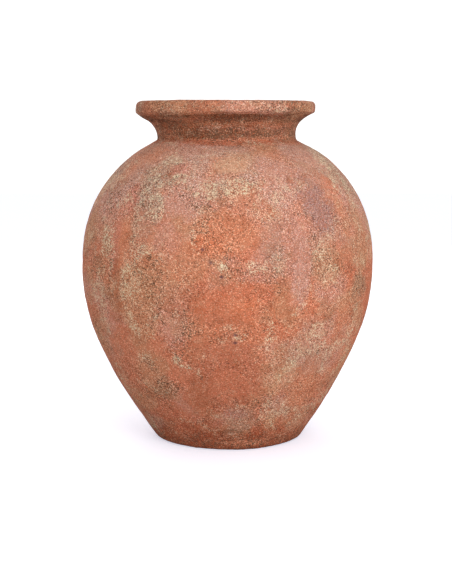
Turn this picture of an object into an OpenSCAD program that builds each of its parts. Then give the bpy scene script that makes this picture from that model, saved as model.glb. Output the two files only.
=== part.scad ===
// Handle-less terracotta storage jar, built up from clay sections luted together with slip.
// Millimetres, +Z up. The jar turns about the Z axis and rests on z = 0.
//
// Every curve of the wall is an arc, written as its centre, its radius and a range of the angle
// `a` at which the outside of the wall faces: 0 faces straight out, +90 up, -90 down.
// A negative radius is a hollow curve, whose centre lies outside the wall.

/* [Overall] */
// Height from the resting face to the top of the rim
jar_height = 400; // [385:1:430]
// Outside radius at the widest ring
belly_radius = 173.5; // [150:0.5:200]
// Thickness of the clay wall
wall = 10; // [6:0.5:12]
// Depth of the V-shaped ridge with which one section sits in the next
joint_depth = 4; // [2:0.5:5]

/* [Foot] */
// Thickness of the floor slab
floor_thickness = 12; // [9:0.5:16]
// Lean of the wall out from upright where it leaves the foot
foot_lean = 33.5; // [30:0.5:35]
// Rounding of the slab's lower edge
foot_round = 7.5; // [3:0.5:9]
// Width of the coil pressed into the corner between floor and wall
coil_width = 14; // [8:1:20]

/* [Body curves] */
// Radius of the lower wall's curve
lower_arc = 535; // [400:5:600]
// Radius of the belly's curve
belly_arc = 237; // [220:1:250]
// Radius of the shoulder's curve
shoulder_arc = 143.5; // [135:0.5:150]
// How far the wall faces down where the lower wall meets the belly
belly_start = 23.5; // [21:0.5:28]
// How far the wall faces up where the belly meets the shoulder
belly_end = 7.5; // [4:0.5:12]
// How far the wall faces up where the shoulder meets the neck
shoulder_end = 67.5; // [62:0.5:72]

/* [Neck and rim] */
// Radius of the hollow corner between shoulder and neck
root_arc = 5; // [3:0.5:8]
// Height of the straight stretch on the outside of the neck
neck_straight = 2; // [0.5:0.5:20]
// Radius of the hollow curve on the outside of the neck
neck_arc = 24; // [20:0.5:25]
// How far the neck faces down where its curve runs out under the rim
neck_end = 60; // [50:1:62]
// How much higher the neck starts to open inside than outside
mouth_rise = 6; // [2:0.5:8]
// Radius of the curve that opens the mouth above the throat
mouth_arc = 32; // [28:0.5:34]
// Lean of the mouth out from upright at the rim
mouth_lean = 40; // [35:1:44]
// How far the rim stands out past the straight stretch of the neck
rim_overhang = 24.5; // [20:0.5:30]
// Drop from the top of the rim to its joint with the neck
rim_drop = 19; // [18:0.5:20]
// Rounding of the rim's upper outside edge
rim_top_round = 4.5; // [2:0.5:6]
// Rounding of the rim's lower outside edge
rim_low_round = 2; // [1:0.5:4]
// Rounding of the rim's inside edge
mouth_round = 8; // [5:0.5:9]

/* [Hidden] */

// Steps in a full turn about the Z axis
$fn = 144;
// Furthest that a straight step strays from the arc it stands for
chord_error = 0.03;

// Colours of the fired clay
terracotta = "#b5694c";
dusty_terracotta = "#b9785f";
rusty_terracotta = "#a5593b";
bare_clay = "#c98a66";

// Direction in which the wall faces at angle a
function facing(a) = [cos(a), sin(a)];

// Direction that runs up along the wall at angle a
function along(a) = [-sin(a), cos(a)];

// Number of straight steps that keep within chord_error of an arc
function arc_steps(radius, sweep) = ceil(abs(sweep) / (2 * acos(1 - chord_error / abs(radius))));

// Points from angle `from` to angle `to` on an arc
function bend(centre, radius, from, to) =
    let (steps = arc_steps(radius, to - from))
    [for (i = [0:steps]) centre + radius * facing(from + (to - from) * i / steps)];

// Centre of the next arc, which carries on smoothly from the last one at angle a
function next_centre(centre, radius, next_radius, a) = centre + (radius - next_radius) * facing(a);

// Height gained by following an arc from angle `from` to angle `to`
function rise(radius, from, to) = radius * (sin(to) - sin(from));

// Point where a line through p, running along the wall at angle a, reaches the height z
function at_height(p, a, z) = p + along(a) * (z - p.y) / along(a).y;

// Tip of the ridge on a joint that runs from the outside of the wall to the inside
function ridge(outside, inside) =
    let (across = (outside - inside) / norm(outside - inside))
    (outside + inside) / 2 + joint_depth * [across.y, -across.x];

// Tip of the ridge where the wall faces angle a on an arc
function wall_ridge(centre, radius, a) =
    ridge(centre + radius * facing(a), centre + (radius - wall) * facing(a));

// Height of the widest ring: what is left below the rim, the neck and the upper curves
neck_centre_height = jar_height - rim_drop - rise(-neck_arc, 0, -neck_end);
root_centre_height = neck_centre_height - neck_straight;
shoulder_start_height = root_centre_height - rise(-root_arc, shoulder_end, 0)
                        - rise(shoulder_arc, belly_end, shoulder_end);
belly_height = shoulder_start_height - rise(belly_arc, 0, belly_end);

// Arc centres, each worked out from its neighbour, starting at the widest ring
belly_centre = [belly_radius - belly_arc, belly_height];
lower_centre = next_centre(belly_centre, belly_arc, lower_arc, -belly_start);
shoulder_centre = next_centre(belly_centre, belly_arc, shoulder_arc, belly_end);
root_centre = next_centre(shoulder_centre, shoulder_arc, -root_arc, shoulder_end);
neck_radius = root_centre.x - root_arc;
neck_centre = [neck_radius + neck_arc, neck_centre_height];
mouth_centre = [neck_radius - wall + mouth_arc, neck_centre_height + mouth_rise];

// Straight foot of the wall, below the lower arc
cone_outside = lower_centre + lower_arc * facing(-foot_lean);
cone_inside = cone_outside - wall * facing(-foot_lean);
wall_foot_outside = at_height(cone_outside, -foot_lean, floor_thickness);
wall_foot_inside = at_height(cone_inside, -foot_lean, floor_thickness);
foot_centre = at_height(cone_outside - foot_round * facing(-foot_lean), -foot_lean, foot_round);

// Hollow face of the coil, which runs smoothly into the floor and the wall
coil_arc = coil_width * tan(45 + foot_lean / 2);
coil_centre = wall_foot_inside + [-coil_width, coil_arc];

// Joint between neck and rim, and the rim's two outside edges and one inside edge
neck_top_outside = neck_centre - neck_arc * facing(-neck_end);
neck_top_inside = mouth_centre - mouth_arc * facing(-mouth_lean);
neck_top_ridge = ridge(neck_top_outside, neck_top_inside);
rim_radius = neck_radius + rim_overhang;
lip_start = neck_top_outside - rim_low_round * facing(-neck_end);
lip_run = (rim_radius - rim_low_round - lip_start.x) / along(-neck_end).x;
lip_low_centre = lip_start + lip_run * along(-neck_end);
lip_top_centre = [rim_radius - rim_top_round, jar_height - rim_top_round];
mouth_edge_centre = at_height(neck_top_inside + mouth_round * facing(-mouth_lean), -mouth_lean,
                              jar_height - mouth_round);

// Solid ring from an outline of [radius, height] points
module turned(outline, tint) {
    color(tint)
        rotate_extrude()
            polygon(outline);
}

// One band of the wall: the outside going up, then the inside coming down
module wall_band(centre, radius, from, to, tint) {
    turned(concat(
        bend(centre, radius, from, to),
        [wall_ridge(centre, radius, to)],
        bend(centre, radius - wall, to, from),
        [wall_ridge(centre, radius, from)]
    ), tint);
}

// Flat disc that the jar stands on, with its lower edge rounded over
module base_slab() {
    turned(concat(
        [[0, 0]],
        bend(foot_centre, foot_round, -90, -foot_lean),
        [wall_foot_outside, [0, floor_thickness]]
    ), rusty_terracotta);
}

// Coil that seals the floor to the wall on the inside
module base_coil() {
    turned(concat(
        bend(coil_centre, coil_arc, -90, -foot_lean),
        [wall_foot_inside]
    ), bare_clay);
}

// Wall that stands on the slab: a cone that starts to curve as it rises
module lower_wall() {
    turned(concat(
        [wall_foot_outside],
        bend(lower_centre, lower_arc, -foot_lean, -belly_start),
        [wall_ridge(lower_centre, lower_arc, -belly_start)],
        bend(lower_centre, lower_arc - wall, -belly_start, -foot_lean),
        [wall_foot_inside]
    ), rusty_terracotta);
}

module belly_band() {
    wall_band(belly_centre, belly_arc, -belly_start, belly_end, terracotta);
}

module shoulder_band() {
    wall_band(shoulder_centre, shoulder_arc, belly_end, shoulder_end, dusty_terracotta);
}

// Neck: a tight hollow corner and a hollow curve outside, a straight throat and a flare inside
module neck_collar() {
    turned(concat(
        bend(root_centre, -root_arc, shoulder_end, 0),
        bend(neck_centre, -neck_arc, 0, -neck_end),
        [neck_top_ridge],
        bend(mouth_centre, -mouth_arc, -mouth_lean, 0),
        bend(root_centre, -root_arc - wall, 0, shoulder_end),
        [wall_ridge(root_centre, -root_arc, shoulder_end)]
    ), rusty_terracotta);
}

// Heavy lip set on the neck, flat on top with rounded edges
module rim_lip() {
    turned(concat(
        [neck_top_outside],
        bend(lip_low_centre, rim_low_round, -neck_end, 0),
        bend(lip_top_centre, rim_top_round, 0, 90),
        bend(mouth_edge_centre, mouth_round, 90, 180 - mouth_lean),
        [neck_top_inside, neck_top_ridge]
    ), dusty_terracotta);
}

base_slab();
base_coil();
lower_wall();
belly_band();
shoulder_band();
neck_collar();
rim_lip();
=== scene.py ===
# Weathered terracotta storage jar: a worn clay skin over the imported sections, on a plain pale floor
# under soft studio light. Metres, +Z up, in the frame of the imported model.
import itertools
import math

import bmesh
import bpy
import numpy as np
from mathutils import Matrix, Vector


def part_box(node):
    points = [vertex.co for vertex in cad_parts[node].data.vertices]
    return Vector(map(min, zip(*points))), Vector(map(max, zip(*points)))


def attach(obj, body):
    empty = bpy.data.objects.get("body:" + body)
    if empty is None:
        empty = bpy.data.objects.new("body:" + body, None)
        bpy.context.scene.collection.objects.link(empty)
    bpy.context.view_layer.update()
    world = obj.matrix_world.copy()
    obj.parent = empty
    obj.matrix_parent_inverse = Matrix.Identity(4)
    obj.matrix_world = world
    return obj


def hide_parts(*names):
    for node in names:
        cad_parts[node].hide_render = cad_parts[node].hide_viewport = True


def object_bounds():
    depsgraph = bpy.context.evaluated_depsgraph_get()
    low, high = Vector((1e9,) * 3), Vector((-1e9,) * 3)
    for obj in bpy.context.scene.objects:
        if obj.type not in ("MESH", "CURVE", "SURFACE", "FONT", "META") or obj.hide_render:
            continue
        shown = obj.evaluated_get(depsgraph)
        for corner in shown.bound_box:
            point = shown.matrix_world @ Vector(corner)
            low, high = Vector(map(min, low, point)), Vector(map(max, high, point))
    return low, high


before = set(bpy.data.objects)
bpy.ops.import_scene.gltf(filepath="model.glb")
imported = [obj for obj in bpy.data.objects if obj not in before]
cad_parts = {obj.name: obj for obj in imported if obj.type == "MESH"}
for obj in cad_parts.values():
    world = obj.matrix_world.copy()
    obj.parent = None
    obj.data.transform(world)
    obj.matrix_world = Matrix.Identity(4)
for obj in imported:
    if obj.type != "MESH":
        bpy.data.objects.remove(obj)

cad_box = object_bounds()
scene = bpy.context.scene

MM = 0.001

# Clay sections that make up the skin, and the coil of bare clay that lies inside it
WALL = ["base_slab", "lower_wall", "belly_band", "shoulder_band", "neck_collar", "rim_lip"]
COIL = "base_coil"

# Mesh: vertices in a full ring, and the distance between rings on the outside, inside and coil
AROUND = 600
OUTSIDE_STEP = 1.3 * MM
INSIDE_STEP = 4 * MM
COIL_STEP = 2 * MM
# Rings near the axis have fewer vertices, down to a least number, kept at least so far apart
LEAST_AROUND = 75
CLOSEST = 0.6 * MM
# Corners closer than this are the same corner
TOUCH = 0.02 * MM
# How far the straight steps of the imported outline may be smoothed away, and in how many rounds
SOFTENING = 0.2 * MM
SOFTENING_ROUNDS = 60
# Random values along each side of the noise table
TABLE = 64

# Heights, and how far the hand-built jar stands to the right of its axis there. Its bends are
# rounded over the blur above and below
SWAY_BLUR = 8 * MM
SWAY = (
    [0, 0.030, 0.070, 0.190, 0.240, 0.335, 0.350, 0.365, 0.380, 0.400],
    [0.0006, 0.0, -0.0012, -0.0006, 0.0, 0.0007, 0.0002, -0.0018, -0.0033, -0.0022],
)

# Height of the lip's lower edge, how far it lifts on the right and hangs down on the left, and how
# far above and below the edge that fades out
LIP_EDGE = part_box("rim_lip")[0].z + 3 * MM
LIP_TILT = 1.0 * MM
LIP_REACH = 5 * MM

# Unevenness of the hand-built wall: depth, size of its lumps, seed and octaves of noise
UNEVEN = [
    (0.70 * MM, 90 * MM, 11, 2),
    (0.28 * MM, 20 * MM, 21, 2),
    (0.17 * MM, 5.5 * MM, 31, 2),
]
# Heights between which the shoulder turns in to the neck
SHOULDER_TOP = (0.31, 0.34)
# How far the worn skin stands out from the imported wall, and how much more above the shoulder
PROUD = 0.45 * MM
PROUD_ABOVE_SHOULDER = 0.5 * MM
# Hollows scattered over the skin, and the deeper pits that have their own places
HOLLOW_SIZE = 7 * MM
HOLLOW_DEPTH = 0.55 * MM
PIT_DEPTH = 0.8 * MM
# Rings that the potter's fingers left inside, and the size of the noise that makes them wander
FINGER_RING_DEPTH = 0.5 * MM
FINGER_RING_SPACING = 11 * MM
FINGER_RING_WANDER = 60 * MM

# Neck: dark streaks lie round it between these heights, partly dark clay and partly painted shade
# under the lip, and their lower end fades
NECK_FOOT = 0.350
NECK_TOP = 0.3855
NECK_FADE = 8 * MM
# Foot: painted shade near the floor, which fades between these heights
FOOT_SHADE_HEIGHTS = (0.004, 0.030)

# Sizes in the clay material: grains of sand, mottled colour, tufts of lime, smudges of dirt, strokes
# of lime, the finest relief, and how far apart its own pits are
GRAIN = 0.9 * MM
MOTTLE = 14 * MM
TUFT = 9 * MM
SMUDGE = 8 * MM
STROKE = 3.4 * MM
FINE = 2.6 * MM
PIT_SPACING = 24 * MM
# How irregular the grains' outlines are, the depth of the finest relief and the clay's faint sheen
GRAIN_WANDER = 3 * MM
BUMP_DEPTH = 0.5 * MM
SHEEN = 0.12

# Clay colours, linear. FOOT is painted shade near the floor
BRICK = (0.52, 0.158, 0.086)
TERRACOTTA = (0.55, 0.178, 0.098)
RED = (0.51, 0.145, 0.074)
ORANGE = (0.55, 0.19, 0.10)
PINK = (0.52, 0.25, 0.185)
ROSE = (0.52, 0.18, 0.125)
DUSTY = (0.50, 0.28, 0.205)
PEACH = (0.57, 0.31, 0.19)
OCHRE = (0.45, 0.205, 0.108)
RUST = (0.31, 0.092, 0.043)
OLIVE = (0.36, 0.19, 0.11)
UMBER = (0.10, 0.029, 0.011)
GREY = (0.38, 0.225, 0.16)
MAUVE = (0.35, 0.175, 0.145)
STRAW = (0.60, 0.38, 0.20)
RIM = (0.33, 0.115, 0.064)
FLAME = (0.57, 0.155, 0.070)
FOOT = (0.31, 0.066, 0.028)
DEEP = (0.43, 0.125, 0.068)
LIME = (0.84, 0.70, 0.52)
MOSSY_LIME = (0.66, 0.56, 0.34)
# Pits: painted shade inside them
PIT_SHADE = (0.10, 0.05, 0.06)
DIRT_AND_SHADE = (0.12, 0.060, 0.036)
DULL = (0.38, 0.24, 0.14)

# What a dark or a light grain's colour is, times the colour of the clay round it
DARK_GRAIN = (0.23, 0.22, 0.25)
LIGHT_GRAIN = (1.62, 2.30, 2.75)

# The clay's usual colour by height. FOOT at the bottom is painted shade near the floor, and the UMBER
# just under the rim is partly dark clay and partly painted shade under the lip
BY_HEIGHT = [
    (0.000, FOOT), (0.020, FOOT), (0.050, BRICK), (0.120, TERRACOTTA), (0.160, RED), (0.230, BRICK),
    (0.290, PINK), (0.330, DUSTY), (0.348, DUSTY), (0.352, RED), (0.357, RUST), (0.366, RUST),
    (0.373, RED), (0.379, RUST), (0.3845, UMBER), (0.387, RIM), (0.400, RIM),
]

# Clay colours that drift over the whole jar: colour, how strongly, size of the areas, seed, and the
# values of the noise where the colour starts and is full
DRIFTS = [
    (ORANGE, 0.7, 60 * MM, 101, 0.00, 0.6),
    (PINK, 0.6, 55 * MM, 111, 0.10, 0.6),
    (OCHRE, 0.6, 45 * MM, 121, 0.15, 0.6),
    (GREY, 0.5, 50 * MM, 131, 0.30, 0.7),
    (OLIVE, 0.4, 30 * MM, 141, 0.40, 0.8),
]

# Places where one colour shows: colour, how strongly, turn to the right of the front in degrees,
# height, half-width and half-height in millimetres, and lean to the right in degrees
STAINS = [
    (PEACH, 0.9, 2, 330, 21, 11, 0),
    (PINK, 0.9, -19, 290, 28, 18, 20),
    (PINK, 0.9, 24, 322, 30, 14, 0),
    (PINK, 1.0, 22, 300, 24, 20, 0),
    (PINK, 1.0, 27, 222, 12, 42, 0),
    (MAUVE, 1.0, 38, 284, 23, 30, -10),
    (GREY, 0.8, -30, 312, 18, 12, 0),
    (GREY, 0.8, -34, 290, 18, 16, 0),
    (GREY, 0.5, -34, 262, 18, 18, 0),
    (GREY, 0.4, 16, 248, 16, 22, 0),
    (OCHRE, 0.6, -26, 205, 34, 26, 0),
    (ORANGE, 1.0, 0, 256, 38, 22, 0),
    (FLAME, 0.8, -8, 246, 20, 14, 0),
    (ORANGE, 0.6, -16, 225, 30, 26, 0),
    (FLAME, 0.9, -1, 182, 44, 16, 0),
    (FLAME, 0.7, 2, 150, 30, 20, 0),
    (RUST, 0.35, -11, 132, 12, 26, 20),
    (DEEP, 0.5, -9, 180, 34, 28, 0),
    (RUST, 0.5, -10, 64, 24, 22, 0),
    (RUST, 0.35, -8, 70, 18, 50, 0),
    (MAUVE, 0.25, 20, 236, 32, 34, 0),
    (RED, 0.9, 4, 196, 40, 10, -4),
    (RUST, 0.25, -17, 184, 26, 20, 0),
    (RUST, 0.2, 1, 210, 14, 12, 0),
    (ORANGE, 0.8, -11, 152, 16, 12, 0),
    (DEEP, 0.9, 0, 98, 46, 56, 0),
    (RED, 0.5, -1, 88, 26, 20, 0),
    (RUST, 0.4, -12, 84, 14, 20, 0),
    (ORANGE, 0.9, -43, 250, 12, 24, 0),
    (ROSE, 0.6, -47, 240, 9, 30, 0),
    (RUST, 0.6, -45, 190, 6, 40, 0),
    (OCHRE, 0.7, -70, 250, 22, 26, 0),
    (OCHRE, 0.6, 40, 220, 20, 26, 0),
    (OCHRE, 0.6, 64, 250, 18, 44, 0),
    (OLIVE, 0.6, 61, 190, 18, 20, 0),
    (OLIVE, 0.4, -29, 80, 16, 14, 0),
    (OLIVE, 0.35, -60, 45, 18, 16, 0),
    (STRAW, 0.25, 25, 36, 10, 10, 0),
    (STRAW, 0.25, 26, 96, 14, 34, 25),
    (ORANGE, 0.8, 40, 66, 26, 34, 0),
    (MAUVE, 0.5, 5, 51, 16, 9, 0),
    (ROSE, 0.8, -44, 288, 12, 20, 0),
    (ROSE, 0.7, -24, 322, 14, 8, 0),
    (FLAME, 0.6, 52, 303, 14, 12, 0),
    (UMBER, 0.5, 0, 27, 16, 4, 0),
    (ORANGE, 0.9, 8, 10, 30, 4, 0),
    (OCHRE, 0.8, 58, 388, 22, 10, 0),
    (UMBER, 0.6, -14, 365, 44, 5, 0),
    (UMBER, 0.5, 26, 365, 34, 5, 0),
    (OCHRE, 0.35, 40, 376, 20, 4, 0),
    (OCHRE, 0.3, 4, 375, 60, 3, 0),
    (RUST, 0.45, 0, 374, 90, 4, 0),
    (RED, 0.8, 2, 353, 60, 4, 0),
]

# Places with more or less lime, dirt or smooth worn clay: the amount from 0 to 1, then the place as
# above
LIMED = [
    (0.7, -31, 334, 16, 8, 0), (0.7, -13, 340, 13, 7, 0), (0.65, -8, 303, 14, 11, 0),
    (0.65, 5, 305, 22, 10, 0), (0.6, -22, 315, 14, 10, 0), (0.45, -34, 270, 22, 60, 0),
    (1.0, -2, 222, 6, 5, 0), (0.42, 14, 285, 16, 16, 0), (0.55, -53, 240, 12, 18, 0),
    (0.5, -56, 190, 12, 28, 0), (0.5, -50, 144, 12, 20, 0), (0.42, 38, 236, 16, 18, 0),
    (0.42, 42, 208, 16, 18, 0), (0.5, 65, 276, 18, 24, 0), (0.6, -30, 118, 18, 12, 0),
    (0.6, -22, 116, 12, 14, 0), (0.6, -16, 101, 16, 11, 0), (0.55, 36, 142, 12, 26, 20),
    (0.45, 27, 108, 12, 28, 25), (0.4, 21, 60, 8, 24, 15), (0.6, 56, 367, 12, 8, 0),
    (0.9, 11, 337, 1.2, 8, -25), (0.1, 5, 18, 34, 12, 0), (0.25, -25, 200, 30, 34, 0),
    (0.05, 11, 158, 14, 26, 0), (0.0, 0, 369, 130, 15, 0), (0.1, 36, 36, 16, 16, 0),
    (0.4, 13, 224, 28, 15, 0),
]
# The wide bands round the neck and low on the front are partly painted shade, under the lip and near
# the floor
DARKENED = [
    (0.5, -34, 270, 22, 56, 0), (0.5, 37, 290, 20, 24, 0), (0.7, -30, 76, 20, 22, 0),
    (0.65, 0, 365, 140, 6, 0), (0.5, 16, 250, 16, 24, 0), (0.3, -8, 230, 20, 20, 0),
    (0.7, 56, 367, 14, 8, 0), (0.6, 60, 190, 18, 20, 0), (0.5, -28, 205, 24, 24, 0),
    (0.7, 0, 12, 90, 10, 0), (0.8, -26, 88, 16, 18, 0), (0.7, -47, 22, 24, 14, 0),
    (0.4, 1, 152, 8, 6, 0), (0.7, -33, 108, 18, 12, 0), (0.6, -24, 118, 14, 10, 0),
]
SMOOTHED = [
    (1.0, 2, 330, 20, 10, 0), (0.3, 4, 196, 40, 9, -4), (0.7, 27, 230, 10, 34, 0),
    (0.8, -43, 250, 11, 24, 0), (0.6, -45, 190, 8, 44, 0), (0.3, 0, 262, 22, 12, 0),
    (0.6, 24, 322, 26, 14, 0), (0.7, -1, 88, 24, 20, 0), (0.5, 8, 340, 90, 8, 0),
    (0.8, -1, 176, 38, 16, 0), (0.7, 0, 128, 28, 14, 0), (0.7, -11, 134, 10, 24, 20),
    (0.6, 10, 80, 22, 16, 0), (0.7, 23, 190, 10, 22, 0), (0.6, -42, 140, 8, 30, 0),
    (0.6, 37, 290, 16, 22, 0),
]

# A patch fades between these times its half-sizes, and how far that edge wanders
PATCH_EDGE = (0.55, 1.25)
PATCH_RAGGED = 0.35

# Away from those places: the usual amount of lime and dirt, how far it varies, and the most that the
# clay is worn smooth
LIME_USUAL = 0.27
LIME_VARIES = 0.45
DARK_USUAL = 0.25
DARK_VARIES = 0.40
SMOOTHEST = 0.8

# Small pits seen on the front: turn in degrees and height in millimetres. Then their half-width and
# half-height in millimetres
PITS = [(-9, 241), (-6, 227), (-2, 212), (3, 148), (3, 139)]
PIT_SIZE = (2.2, 1.8)

# Round the sides and back the spots lie at random, within these turns, heights, half-widths,
# half-heights and leans
BEHIND = (75, 285)
HEIGHTS = (20, 340)
WIDTHS = (10, 34)
TALLS = (8, 42)
LEANS = (-25, 25)

# Studio: the floor and its glow, the white beyond it, and the light of the world
FLOOR_COLOUR = (0.8, 0.8, 0.8)
FLOOR_RADIUS = 6.0
FLOOR_GLOW = 0.48
FLOOR_TINT = (0.94, 0.965, 1.12)
BACKDROP_RADIUS = 5.9
BACKDROP_GLOW = 1.2
WORLD_LIGHT = 0.66

# Soft boxes, all aimed at the middle of the jar: name, place, width, height and power in watts
SOFT_BOXES = [
    ("key_box", (0.60, -1.87, 1.05), 1.5, 1.4, 21.0),
    ("back_box", (-0.5, 1.9, 0.8), 1.8, 1.2, 14),
    ("left_fill", (-1.5, -1.0, 0.15), 0.8, 0.3, 3.6),
    ("right_fill", (1.2, -1.2, 0.08), 0.8, 0.2, 7.0),
]

# Camera: focal length in millimetres, where it stands and what it looks at
LENS = 74.5
CAMERA_PLACE = (-0.002, -1.45, 0.366)
CAMERA_AIM = (-0.002, 0, 0.173)


def scattered(seed, count, weakest, strongest):
    """Spots behind the ones that were placed, each with its amount, turn, height, sizes and lean"""
    random = np.random.default_rng(seed)
    ranges = [(weakest, strongest), BEHIND, HEIGHTS, WIDTHS, TALLS, LEANS]
    return [tuple(random.uniform(*limits) for limits in ranges) for _ in range(count)]


HUES = itertools.cycle([PINK, FLAME, OCHRE, GREY, RED, ORANGE, MAUVE, OLIVE, PEACH, RUST])
STAINS += [(colour, *spot) for colour, spot in zip(HUES, scattered(61, 50, 0.4, 0.9))]
LIMED += scattered(62, 30, 0.45, 0.8)
DARKENED += scattered(63, 18, 0.4, 0.8)
SMOOTHED += scattered(64, 22, 0.4, 0.9)

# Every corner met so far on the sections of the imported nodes
corners = []


def corner(vertex):
    """(radius, height) of a vertex in the half-plane; vertices that touch share one corner"""
    place = (vertex.co.x, vertex.co.z)
    for known in corners:
        if math.dist(known, place) < TOUCH:
            return known
    corners.append(place)
    return place


def outline(node):
    """Edges of a node's section by the half-plane y = 0, x > 0"""
    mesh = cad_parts[node].data
    places = {v.index: corner(v) for v in mesh.vertices if abs(v.co.y) < TOUCH and v.co.x > 0}
    edges = set()
    for edge in mesh.edges:
        start, end = edge.vertices
        if start in places and end in places and places[start] != places[end]:
            edges.add(frozenset((places[start], places[end])))
    return edges


def loose_ends(edges):
    """Corners that only one of the edges reaches"""
    ends = list(itertools.chain.from_iterable(edges))
    return [place for place in set(ends) if ends.count(place) == 1]


def split(edge):
    """The edge cut at every corner that lies on it"""
    start, end = sorted(edge)
    reach = math.dist(start, end)
    on_it = [place for place in corners
             if math.dist(start, place) + math.dist(place, end) < reach + TOUCH / 10]
    on_it.sort(key=lambda place: math.dist(start, place))
    return [frozenset(pair) for pair in zip(on_it, on_it[1:])]


def walk(edges, start):
    """Corners in order along the edges from a start, and the edges passed"""
    chain = [start]
    passed = []
    left = set(edges)
    while True:
        ahead = [edge for edge in left if chain[-1] in edge]
        if not ahead:
            return chain, passed
        left.remove(ahead[0])
        passed.append(ahead[0])
        chain.append(next(place for place in ahead[0] if place != chain[-1]))


def spaced(chain, step):
    """Points about a step apart along a chain of corners, both ends included"""
    chain = np.array(chain)
    along = np.concatenate([[0], np.cumsum(np.linalg.norm(np.diff(chain, axis=0), axis=1))])
    wanted = np.linspace(0, along[-1], 1 + max(1, round(along[-1] / step)))
    return np.stack([np.interp(wanted, along, chain[:, axis]) for axis in range(2)], axis=1)


def soften(points, reach, rounds):
    """Smooths a chain of points without moving any of them further than the reach"""
    soft = points.copy()
    for _ in range(rounds):
        soft[1:-1] = (soft[:-2] + 2 * soft[1:-1] + soft[2:]) / 4
        shift = soft - points
        size = np.linalg.norm(shift, axis=1, keepdims=True)
        soft = points + shift * np.minimum(1, reach / np.maximum(size, reach / 1000))
    return soft


# The skin's section: every edge that belongs to one section only, walked from the middle of the
# underside, up the outside, over the rim and down the inside to the middle of the floor
edges_of = {section: outline(section) for section in WALL}
for edges in edges_of.values():
    for radius, height in loose_ends(edges):
        corners.append((0.0, height))
        edges.add(frozenset(((radius, height), (0.0, height))))
sections_at = {}
for section, edges in edges_of.items():
    for edge in edges:
        for part in split(edge):
            sections_at.setdefault(part, []).append(section)
skin = {edge: sections[0] for edge, sections in sections_at.items() if len(sections) == 1}
chain, passed = walk(skin, (0.0, 0.0))

# One run of rings for each stretch of the skin that belongs to one section
runs = []
for section, group in itertools.groupby(range(len(passed)), key=lambda i: skin[passed[i]]):
    steps = list(group)
    runs.append([section, chain[steps[0]:steps[-1] + 2]])
top_run = max(range(len(runs)), key=lambda i: max(height for _, height in runs[i][1]))


def joint(section, neighbour, start):
    """Corners of the joint between two sections, from a start on one face to the other"""
    shared = {edge for edge, sections in sections_at.items() if set(sections) == {section, neighbour}}
    return walk(shared, start)[0][1:-1]


# Points of the skin's section in order, and the rows of them that each run takes
section_points = []
run_rows = []
for number, (section, stretch) in enumerate(runs):
    points = spaced(stretch, OUTSIDE_STEP if number <= top_run else INSIDE_STEP)
    first = len(section_points) - (number > 0)
    section_points.extend(points[number > 0:])
    run_rows.append((section, range(first, len(section_points))))
points = soften(np.array(section_points), SOFTENING, SOFTENING_ROUNDS)
tangents = np.gradient(points, axis=0)
tangents /= np.linalg.norm(tangents, axis=1, keepdims=True)
facing = np.stack([tangents[:, 1], -tangents[:, 0]], axis=1)
outside_rows = run_rows[top_run][1].stop

# After each run comes the joint with the next section, whose corners get rings of their own
joint_rows = []
for (section, stretch), (neighbour, _) in itertools.pairwise(runs):
    tips = joint(section, neighbour, stretch[-1])
    joint_rows.append(range(len(points), len(points) + len(tips)))
    points = np.concatenate([points, np.reshape(tips, (-1, 2))])
joint_rows.append(range(0))
facing = np.concatenate([facing, np.zeros((len(points) - len(facing), 2))])


def ring_count(radius):
    """Vertices in a ring: halved towards the axis, and one on it"""
    if radius < TOUCH:
        return 1
    count = AROUND
    while count > LEAST_AROUND and radius < count * CLOSEST / math.tau:
        count //= 2
    return count


def share(ring, part, parts):
    """The vertices of a ring along one of its equal parts, both ends included"""
    if len(ring) == 1:
        return [ring[0]]
    each = len(ring) // parts
    return [ring[i % len(ring)] for i in range(part * each, (part + 1) * each + 1)]


def stitch(rings, closed):
    """Faces between each ring and the next, and from the last back to the first if closed"""
    faces = []
    for lower, upper in itertools.pairwise(rings + rings[:1] if closed else rings):
        counts = len(lower), len(upper)
        parts = max(counts) if 1 in counts else min(counts)
        for part in range(parts):
            faces.append(share(lower, part, parts) + share(upper, part, parts)[::-1])
    return faces


def revolve(points, facing):
    """Vertices of the rings through the points, their outward directions, and each ring's vertices"""
    places = []
    directions = []
    rings = []
    total = 0
    for (radius, height), (out, up) in zip(points, facing):
        turn = np.linspace(0, math.tau, ring_count(radius), endpoint=False)
        level = np.ones(len(turn))
        places.append(np.stack([radius * np.cos(turn), radius * np.sin(turn), height * level], axis=1))
        directions.append(np.stack([out * np.cos(turn), out * np.sin(turn), up * level], axis=1))
        rings.append(list(range(total, total + len(turn))))
        total += len(turn)
    return np.concatenate(places), np.concatenate(directions), rings


def noise(places, size, seed):
    """Smooth random values from about -1 to 1 at the places, in lumps about the size across"""
    random = np.random.default_rng(seed)
    table = random.uniform(-1, 1, (TABLE, TABLE, TABLE))
    turned = np.linalg.qr(random.normal(size=(3, 3)))[0]
    scaled = places @ turned / size
    cell = np.floor(scaled).astype(int)
    part = scaled - cell
    part = part * part * (3 - 2 * part)
    total = np.zeros(len(places))
    for step in itertools.product((0, 1), repeat=3):
        weight = np.prod(np.where(step, part, 1 - part), axis=1)
        i, j, k = ((cell + step) % TABLE).T
        total += weight * table[i, j, k]
    return total


def fractal(places, size, seed, octaves):
    """Noise with finer noise on top, each octave half the size and half as strong"""
    return sum(noise(places, size / 2 ** i, seed + i) / 2 ** i for i in range(octaves))


def ease(low, high, values):
    """0 below low, 1 above high and a smooth step between"""
    part = np.clip((values - low) / (high - low), 0, 1)
    return part * part * (3 - 2 * part)


def mixed(base, colour, amount):
    """The base colours moved towards another colour by an amount for each vertex"""
    return base + (np.array(colour) - base) * np.clip(amount, 0, 1)[:, None]


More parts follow.
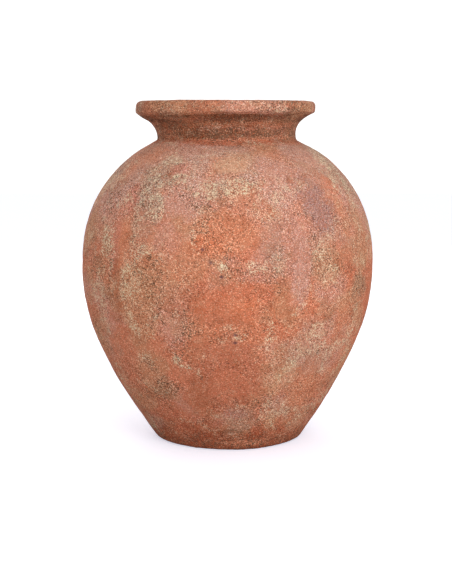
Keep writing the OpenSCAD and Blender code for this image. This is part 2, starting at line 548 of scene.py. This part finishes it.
def patch(places, ragged, turn, height, wide, tall, lean):
    """1 in the middle of a ragged patch on the wall, easing to 0 at its edge"""
    radius = np.hypot(places[:, 0], places[:, 1])
    right = np.arctan2(places[:, 0], -places[:, 1]) - math.radians(turn)
    across = radius * ((right + math.pi) % math.tau - math.pi)
    up = places[:, 2] - height * MM
    slope = math.radians(lean)
    long = up * math.cos(slope) + across * math.sin(slope)
    short = across * math.cos(slope) - up * math.sin(slope)
    reach = np.hypot(short / (wide * MM), long / (tall * MM))
    return 1 - ease(*PATCH_EDGE, reach + PATCH_RAGGED * ragged)


def sway(height):
    """How far the hand-built jar stands to one side of its axis at a height"""
    blur = np.linspace(-SWAY_BLUR, SWAY_BLUR, 9)
    return np.mean([np.interp(height + step, *SWAY) for step in blur], axis=0)


def leaned(places):
    """The places moved over with the jar's sway"""
    moved = places.copy()
    moved[:, 0] += sway(places[:, 2])
    return moved


# The skin's vertices, followed by those of the joints inside the wall
places, outward, rings = revolve(points, facing)
row_of = np.repeat(np.arange(len(rings)), [len(ring) for ring in rings])
on_skin = row_of < len(section_points)
outside = (row_of < outside_rows).astype(float)
inside = 1 - outside

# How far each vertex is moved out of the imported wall
relief = sum(depth * fractal(places, *lumps) for depth, *lumps in UNEVEN)
relief -= HOLLOW_DEPTH * ease(0.62, 0.85, noise(places, HOLLOW_SIZE, 41))
pit = np.zeros(len(places))
for turn, height in PITS:
    pit = np.maximum(pit, outside * patch(places, 0, turn, height, *PIT_SIZE, 0))
relief -= PIT_DEPTH * pit
wander = 2.5 * noise(places, FINGER_RING_WANDER, 51)
relief += inside * FINGER_RING_DEPTH * np.sin(math.tau * places[:, 2] / FINGER_RING_SPACING + wander)
relief += outside * (PROUD + PROUD_ABOVE_SHOULDER * ease(*SHOULDER_TOP, places[:, 2]))

# The resting face is only ever hollowed, so that the jar stands on its edge
under = outward[:, 2] < -0.95
relief = np.where(under, -np.abs(relief) / 2, relief)
surface = leaned(places + outward * relief[:, None])
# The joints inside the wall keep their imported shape
surface[~on_skin] = leaned(places[~on_skin])

# The lip's lower edge sits a little lower on the left than on the right
hang = outside * np.exp(-((places[:, 2] - LIP_EDGE) / LIP_REACH) ** 2)
surface[:, 2] += LIP_TILT * hang * places[:, 0] / (np.hypot(places[:, 0], places[:, 1]) + TOUCH)

# Normals of the whole skin, so that no edge shows where two sections meet
whole = bpy.data.meshes.new("whole_skin")
whole.from_pydata(surface.tolist(), [], stitch(rings[:len(section_points)], False))
normals = np.zeros(3 * len(surface))
whole.vertex_normals.foreach_get("vector", normals)
normals = normals.reshape(-1, 3)
bpy.data.meshes.remove(whole)


def weathering(places, outside):
    """Clay colour at every vertex, with painted shade near the floor and under the lip, and how much
    lime, dirt and smooth worn clay there is; near the floor and round the neck the dirt is partly
    painted shade
    """
    height = places[:, 2]
    ragged = fractal(places, 16 * MM, 91, 3)
    # Below the neck the bands of colour wander up and down
    drift = height + 9 * MM * fractal(places, 50 * MM, 95, 2) * (height < SHOULDER_TOP[1])
    levels, colours = zip(*BY_HEIGHT)
    clay = np.stack([np.interp(drift, levels, channel) for channel in zip(*colours)], axis=1)
    for colour, amount, size, seed, start, full in DRIFTS:
        clay = mixed(clay, colour, amount * ease(start, full, fractal(places, size, seed, 3)))
    lime = LIME_USUAL + LIME_VARIES * fractal(places, 40 * MM, 151, 3)
    dark = DARK_USUAL + DARK_VARIES * fractal(places, 35 * MM, 161, 3)
    smooth = SMOOTHEST * ease(0.20, 0.75, fractal(places, 38 * MM, 171, 2))

    # Towards the foot the clay darkens, with less lime and more dark grains: painted shade near the
    # floor
    near_foot = outside * (1 - ease(*FOOT_SHADE_HEIGHTS, height))
    clay = mixed(clay, FOOT, 0.8 * near_foot)
    lime *= 1 - 0.7 * near_foot
    dark += 0.4 * near_foot

    # Dark and red streaks run level round the neck, the dark partly dark clay and partly painted shade
    # under the lip, and neck and lip are rougher than the body
    above_shoulder = outside * ease(NECK_FOOT, NECK_FOOT + NECK_FADE, height)
    on_neck = above_shoulder * (height < NECK_TOP)
    streak = fractal(places * [1, 1, 9], 34 * MM, 181, 2)
    clay = mixed(clay, UMBER, on_neck * (0.56 + 0.40 * ease(-0.3, 0.4, streak)))
    clay = mixed(clay, RED, 0.35 * on_neck * ease(0.2, 0.6, -streak))
    lime *= 1 - 0.4 * above_shoulder
    dark += 0.3 * above_shoulder
    smooth *= 1 - 0.8 * above_shoulder

    for colour, amount, *spot in STAINS:
        clay = mixed(clay, colour, amount * outside * patch(places, ragged, *spot))
    for amount, *spot in LIMED:
        lime += (amount - lime) * outside * patch(places, ragged, *spot)
    for amount, *spot in DARKENED:
        dark += (amount - dark) * outside * patch(places, ragged, *spot)
    for amount, *spot in SMOOTHED:
        smooth += (amount - smooth) * outside * patch(places, ragged, *spot)
    lime = np.clip(lime, 0, 1) * (1 - smooth)
    dark = np.clip(dark, 0, 1) * (1 - smooth)
    return {"clay": clay, "lime": lime, "dark": dark, "smooth": smooth}


paint = weathering(places, outside)
paint["pit"] = pit


def attribute(mesh, name, values):
    """Stores a number or a colour for each vertex, for the material to read"""
    if values.ndim == 2:
        layer = mesh.attributes.new(name, "FLOAT_COLOR", "POINT")
        colours = np.concatenate([values, np.ones((len(values), 1))], axis=1)
        layer.data.foreach_set("color", colours.ravel().astype(np.float32))
    else:
        layer = mesh.attributes.new(name, "FLOAT", "POINT")
        layer.data.foreach_set("value", values.astype(np.float32))


def make_piece(section, vertices, faces, normals, material, paint):
    """Adds the piece that stands for a section, smooth shaded; a normal of zero is worked out anew"""
    mesh = bpy.data.meshes.new("jar_" + section)
    mesh.from_pydata(vertices.tolist(), [], faces)
    for name, values in paint.items():
        attribute(mesh, name, values)
    mesh.shade_smooth()
    mesh.normals_split_custom_set_from_vertices(normals.tolist())
    mesh.materials.append(material)
    piece = bpy.data.objects.new("jar_" + section, mesh)
    scene.collection.objects.link(piece)
    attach(piece, "root")
    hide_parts(section)


def plug(tree, value, socket):
    """Joins an output to the socket, or sets the socket to a plain value"""
    if isinstance(value, bpy.types.NodeSocket):
        tree.links.new(value, socket)
    else:
        socket.default_value = value


def add(tree, kind, inputs=None, **settings):
    """Adds a shader node, sets it up and fills its inputs"""
    node = tree.nodes.new("ShaderNode" + kind)
    for name, value in settings.items():
        setattr(node, name, value)
    for name, value in (inputs or {}).items():
        plug(tree, value, node.inputs[name])
    return node


class Clay:
    """Builds one clay material out of noise in the jar's own coordinates"""

    def __init__(self, name):
        self.material = bpy.data.materials.new(name)
        self.material.use_nodes = True
        self.tree = self.material.node_tree
        self.tree.nodes.clear()
        self.place = add(self.tree, "TexCoord").outputs["Object"]

    def noise(self, size, seed, detail=2.0, roughness=0.5, distortion=0.0):
        """Noise round 0.5 in lumps about the size across"""
        return add(self.tree, "TexNoise", {
            "Vector": self.place, "W": seed, "Scale": 1 / size, "Detail": detail,
            "Roughness": roughness, "Distortion": distortion,
        }, noise_dimensions="4D").outputs["Fac"]

    def maths(self, operation, first, second=0.0, third=0.0):
        """One arithmetic step on up to three values, each a number or a socket"""
        node = add(self.tree, "Math", operation=operation)
        for socket, value in zip(node.inputs, (first, second, third)):
            plug(self.tree, value, socket)
        return node.outputs["Value"]

    def ease(self, low, high, value, to_low=0.0, to_high=1.0):
        """A smooth step from to_low to to_high as the value goes from low to high"""
        return add(self.tree, "MapRange", {
            "Value": value, "From Min": low, "From Max": high, "To Min": to_low, "To Max": to_high,
        }, interpolation_type="SMOOTHSTEP").outputs["Result"]

    def mix(self, amount, base, colour, blend="MIX"):
        """The base moved towards the colour by the amount; a tuple is a plain colour"""
        node = add(self.tree, "Mix", data_type="RGBA", blend_type=blend)
        # Of this node's sockets, colours use input 0 for the amount, 6 and 7 for the two, and output 2
        for number, value in ((0, amount), (6, base), (7, colour)):
            plug(self.tree, (*value, 1.0) if isinstance(value, tuple) else value, node.inputs[number])
        return node.outputs[2]

    def painted(self, name, output="Fac"):
        """The number painted on the vertices under this name, or its colour"""
        return add(self.tree, "Attribute", attribute_name=name).outputs[output]

    def vector(self, operation, first, second):
        """One arithmetic step on two vectors"""
        node = add(self.tree, "VectorMath", {0: first, 1: second}, operation=operation)
        return node.outputs["Vector"]

    def cluster(self, name, size, seed):
        """Ragged clusters, from 0 to 1, that cover more where the paint of this name is stronger"""
        tufts = self.noise(size, seed, detail=4.0, roughness=0.65)
        total = self.maths("MULTIPLY_ADD", tufts, 1.8, self.painted(name))
        return self.ease(1.06, 1.72, total)

    def sand(self):
        """Three random numbers for every grain of sand: its shade, hue and dullness"""
        wander = add(self.tree, "TexNoise", {
            "Vector": self.place, "Scale": 1 / GRAIN_WANDER, "Detail": 1.0,
        })
        shift = self.vector("MULTIPLY", wander.outputs["Color"], (GRAIN,) * 3)
        shaken = self.vector("ADD", self.place, shift)
        cells = add(self.tree, "TexVoronoi", {"Vector": shaken, "Scale": 1 / GRAIN})
        return add(self.tree, "SeparateColor", {"Color": cells.outputs["Color"]}).outputs

    def over(self, value, limit, softness, strength):
        """0 up to the limit, easing to the strength where the value is past it by the softness"""
        past = self.maths("SUBTRACT", value, limit)
        return self.maths("MULTIPLY", self.ease(0.0, softness, past), strength)

    def finish(self, colour, height, shade):
        """Joins the colour and the fine relief to a dull clay surface"""
        bump = add(self.tree, "Bump", {"Height": height, "Strength": 0.6, "Distance": BUMP_DEPTH})
        shader = add(self.tree, "BsdfPrincipled", {
            "Base Color": colour, "Roughness": self.ease(0.0, 1.0, shade, 0.80, 0.95),
            "Normal": bump.outputs["Normal"], "Specular IOR Level": SHEEN,
        })
        add(self.tree, "OutputMaterial", {"Surface": shader.outputs["BSDF"]})
        return self.material


def fired_clay(clay, shade, hue, dull):
    """The painted clay colour with blotches a few millimetres across and grains of different clay"""
    mottle = clay.noise(MOTTLE, seed=8.0, detail=4.0, roughness=0.62)
    colour = clay.painted("clay", "Color")
    colour = clay.mix(clay.ease(0.28, 0.50, mottle, to_low=0.60, to_high=0.0), colour, RUST)
    colour = clay.mix(clay.ease(0.50, 0.72, mottle, to_high=0.35), colour, PEACH)
    colour = clay.mix(clay.ease(0.45, 1.0, hue, to_high=0.55), colour, FLAME)
    return clay.mix(clay.ease(0.60, 1.0, dull, to_high=0.40), colour, DULL)


def weathered_terracotta():
    """Clay with clusters of lime and dirt, worn smooth in places, with small pits"""
    clay = Clay("weathered_terracotta")
    shade, hue, dull = clay.sand()
    colour = fired_clay(clay, shade, hue, dull)
    rough_skin = clay.maths("MULTIPLY_ADD", clay.painted("smooth"), -0.45, 1.0)
    limed = clay.cluster("lime", TUFT, seed=5.0)
    dirt_and_shade = clay.cluster("dark", SMUDGE, seed=6.0)

    # Dark grains, more and stronger in the dirt, which near the floor and round the neck is partly
    # painted shade
    edge = clay.maths("MULTIPLY_ADD", dirt_and_shade, 0.24, 0.26)
    strength = clay.maths("MULTIPLY", rough_skin, clay.maths("MULTIPLY_ADD", dirt_and_shade, 0.15, 0.82))
    shaded = clay.mix(1.0, colour, DARK_GRAIN, "MULTIPLY")
    amount = clay.over(edge, shade, 0.18, strength)
    colour = clay.mix(amount, colour, clay.mix(dirt_and_shade, shaded, DIRT_AND_SHADE))

    # Light grains, more and paler in the lime
    pale = clay.mix(clay.noise(MOTTLE, seed=9.0), LIME, MOSSY_LIME)
    edge = clay.maths("MULTIPLY_ADD", limed, -0.04, 0.79)
    strength = clay.maths("MULTIPLY", rough_skin, clay.maths("MULTIPLY_ADD", limed, 0.10, 0.88))
    lit = clay.mix(1.0, colour, LIGHT_GRAIN, "MULTIPLY")
    amount = clay.over(shade, edge, 0.14, strength)
    colour = clay.mix(amount, colour, clay.mix(limed, lit, pale))

    # Lime also lies in short wandering strokes
    squiggle = clay.noise(STROKE, seed=4.0, detail=1.0, distortion=0.8)
    off_middle = clay.maths("ABSOLUTE", clay.maths("SUBTRACT", squiggle, 0.5))
    strokes = clay.ease(0.012, 0.040, off_middle, to_low=1.0, to_high=0.0)
    strokes = clay.maths("MULTIPLY", clay.maths("MULTIPLY", limed, strokes), rough_skin)
    colour = clay.mix(clay.maths("MULTIPLY", strokes, 0.95), colour, pale)

    # A few deeper pits, besides the ones stored on the vertices; all of them are coloured almost
    # black, painted shade inside the pits
    cells = add(clay.tree, "TexVoronoi", {"Vector": clay.place, "Scale": 1 / PIT_SPACING})
    pick = add(clay.tree, "SeparateColor", {"Color": cells.outputs["Color"]}).outputs["Red"]
    pits = clay.ease(0.025, 0.050, cells.outputs["Distance"], to_low=1.0, to_high=0.0)
    pits = clay.maths("MULTIPLY", pits, clay.ease(0.55, 0.60, pick))
    pits = clay.maths("MAXIMUM", pits, clay.painted("pit"))
    colour = clay.mix(clay.maths("MULTIPLY", pits, 0.8), colour, PIT_SHADE)

    # Fine relief: grains and strokes stand up, pits go down, and worn clay is smoother
    height = clay.noise(FINE, seed=1.0, detail=3.0, roughness=0.6)
    height = clay.maths("MULTIPLY_ADD", shade, 0.5, height)
    height = clay.maths("MULTIPLY_ADD", strokes, 0.3, height)
    height = clay.maths("MULTIPLY_ADD", pits, -1.2, height)
    return clay.finish(colour, clay.maths("MULTIPLY", height, rough_skin), shade)


def bare_terracotta():
    """Plain fired clay that no weather has reached"""
    clay = Clay("bare_terracotta")
    shade, hue, dull = clay.sand()
    colour = fired_clay(clay, shade, hue, dull)
    colour = clay.mix(clay.over(0.25, shade, 0.2, 0.6), colour, DARK_GRAIN, "MULTIPLY")
    colour = clay.mix(clay.over(shade, 0.80, 0.2, 0.4), colour, LIGHT_GRAIN, "MULTIPLY")
    height = clay.noise(FINE, seed=1.0, detail=3.0, roughness=0.6)
    height = clay.maths("MULTIPLY_ADD", shade, 0.4, height)
    return clay.finish(colour, height, shade)


# The pieces of the wall, each a closed ring or disc cut from the skin
weathered = weathered_terracotta()
for section in WALL:
    rows = []
    for (owner, skin_rows), tip_rows in zip(run_rows, joint_rows):
        if owner == section:
            rows += [*skin_rows, *tip_rows]
    piece_rings = [rings[row] for row in rows]
    faces = stitch(piece_rings, len(piece_rings[0]) > 1)
    taken = np.concatenate(piece_rings)
    local = {vertex: i for i, vertex in enumerate(taken.tolist())}
    faces = [[local[vertex] for vertex in face] for face in faces]
    make_piece(section, surface[taken], faces, normals[taken], weathered,
               {name: values[taken] for name, values in paint.items()})

# Coil in the corner between floor and wall
coil_edges = outline(COIL)
coil_chain, _ = walk(coil_edges, min(min(edge) for edge in coil_edges))
coil_points = spaced(coil_chain, COIL_STEP)[:-1]
coil_places, _, coil_rings = revolve(coil_points, np.zeros_like(coil_points))
coil_paint = weathering(coil_places, np.zeros(len(coil_places)))
make_piece(COIL, leaned(coil_places), stitch(coil_rings, True), np.zeros_like(coil_places),
           bare_terracotta(), coil_paint)


def plain(name, colour, glow, tint=(1, 1, 1)):
    """A dull material of one colour that may also glow"""
    material = bpy.data.materials.new(name)
    material.use_nodes = True
    shader = material.node_tree.nodes["Principled BSDF"]
    shader.inputs["Base Color"].default_value = (*colour, 1)
    shader.inputs["Roughness"].default_value = 0.9
    shader.inputs["Emission Color"].default_value = (*tint, 1)
    shader.inputs["Emission Strength"].default_value = glow
    return material


def stage_disc(name, radius, height, material, sides=96):
    """A level disc round the Z axis that only dresses the scene"""
    turns = [math.tau * i / sides for i in range(sides)]
    mesh = bpy.data.meshes.new(name)
    edge = [(radius * math.cos(turn), radius * math.sin(turn), height) for turn in turns]
    mesh.from_pydata(edge, [], [list(range(sides))])
    mesh.materials.append(material)
    disc = bpy.data.objects.new(name, mesh)
    scene.collection.objects.link(disc)
    return disc


def soft_light(name, place, aim, width, height, power):
    """A rectangular light aimed at a point"""
    data = bpy.data.lights.new(name, "AREA")
    data.shape = "RECTANGLE"
    data.size = width
    data.size_y = height
    data.energy = power
    light = bpy.data.objects.new(name, data)
    light.location = place
    light.rotation_euler = (Vector(aim) - Vector(place)).to_track_quat("-Z", "Y").to_euler()
    scene.collection.objects.link(light)


# The floor is seen but throws no light on the jar; a second one, just below it, does that
pale_floor = plain("pale_floor", FLOOR_COLOUR, FLOOR_GLOW, FLOOR_TINT)
floor = stage_disc("studio_floor", FLOOR_RADIUS, 0.0, pale_floor)
floor.visible_diffuse = False
floor.visible_glossy = False
bounce = stage_disc("bounce_floor", FLOOR_RADIUS, -0.5 * MM, plain("bounce", FLOOR_COLOUR, 0.0))
bounce.visible_camera = False
bounce.visible_shadow = False

# Everything beyond the floor is white to the camera, and lights nothing
backdrop = bpy.data.meshes.new("backdrop")
ball = bmesh.new()
bmesh.ops.create_uvsphere(ball, u_segments=32, v_segments=16, radius=BACKDROP_RADIUS)
ball.to_mesh(backdrop)
ball.free()
backdrop.materials.append(plain("backdrop", (0.0, 0.0, 0.0), BACKDROP_GLOW))
backdrop.materials[0].cycles.emission_sampling = "NONE"
dome = bpy.data.objects.new("backdrop", backdrop)
scene.collection.objects.link(dome)
dome.visible_diffuse = False
dome.visible_glossy = False
dome.visible_shadow = False

world = bpy.data.worlds.new("studio")
world.use_nodes = True
background = world.node_tree.nodes["Background"]
background.inputs["Color"].default_value = (1, 1, 1, 1)
background.inputs["Strength"].default_value = WORLD_LIGHT
scene.world = world

middle = (0, 0, cad_box[1].z / 2)
for name, place, width, height, power in SOFT_BOXES:
    soft_light(name, place, middle, width, height, power)

scene.view_settings.view_transform = "Standard"

camera = bpy.data.objects.new("camera", bpy.data.cameras.new("camera"))
camera.data.lens = LENS
camera.location = CAMERA_PLACE
aim = Vector(CAMERA_AIM) - camera.location
camera.rotation_euler = aim.to_track_quat("-Z", "Y").to_euler()
scene.collection.objects.link(camera)
scene.camera = camera
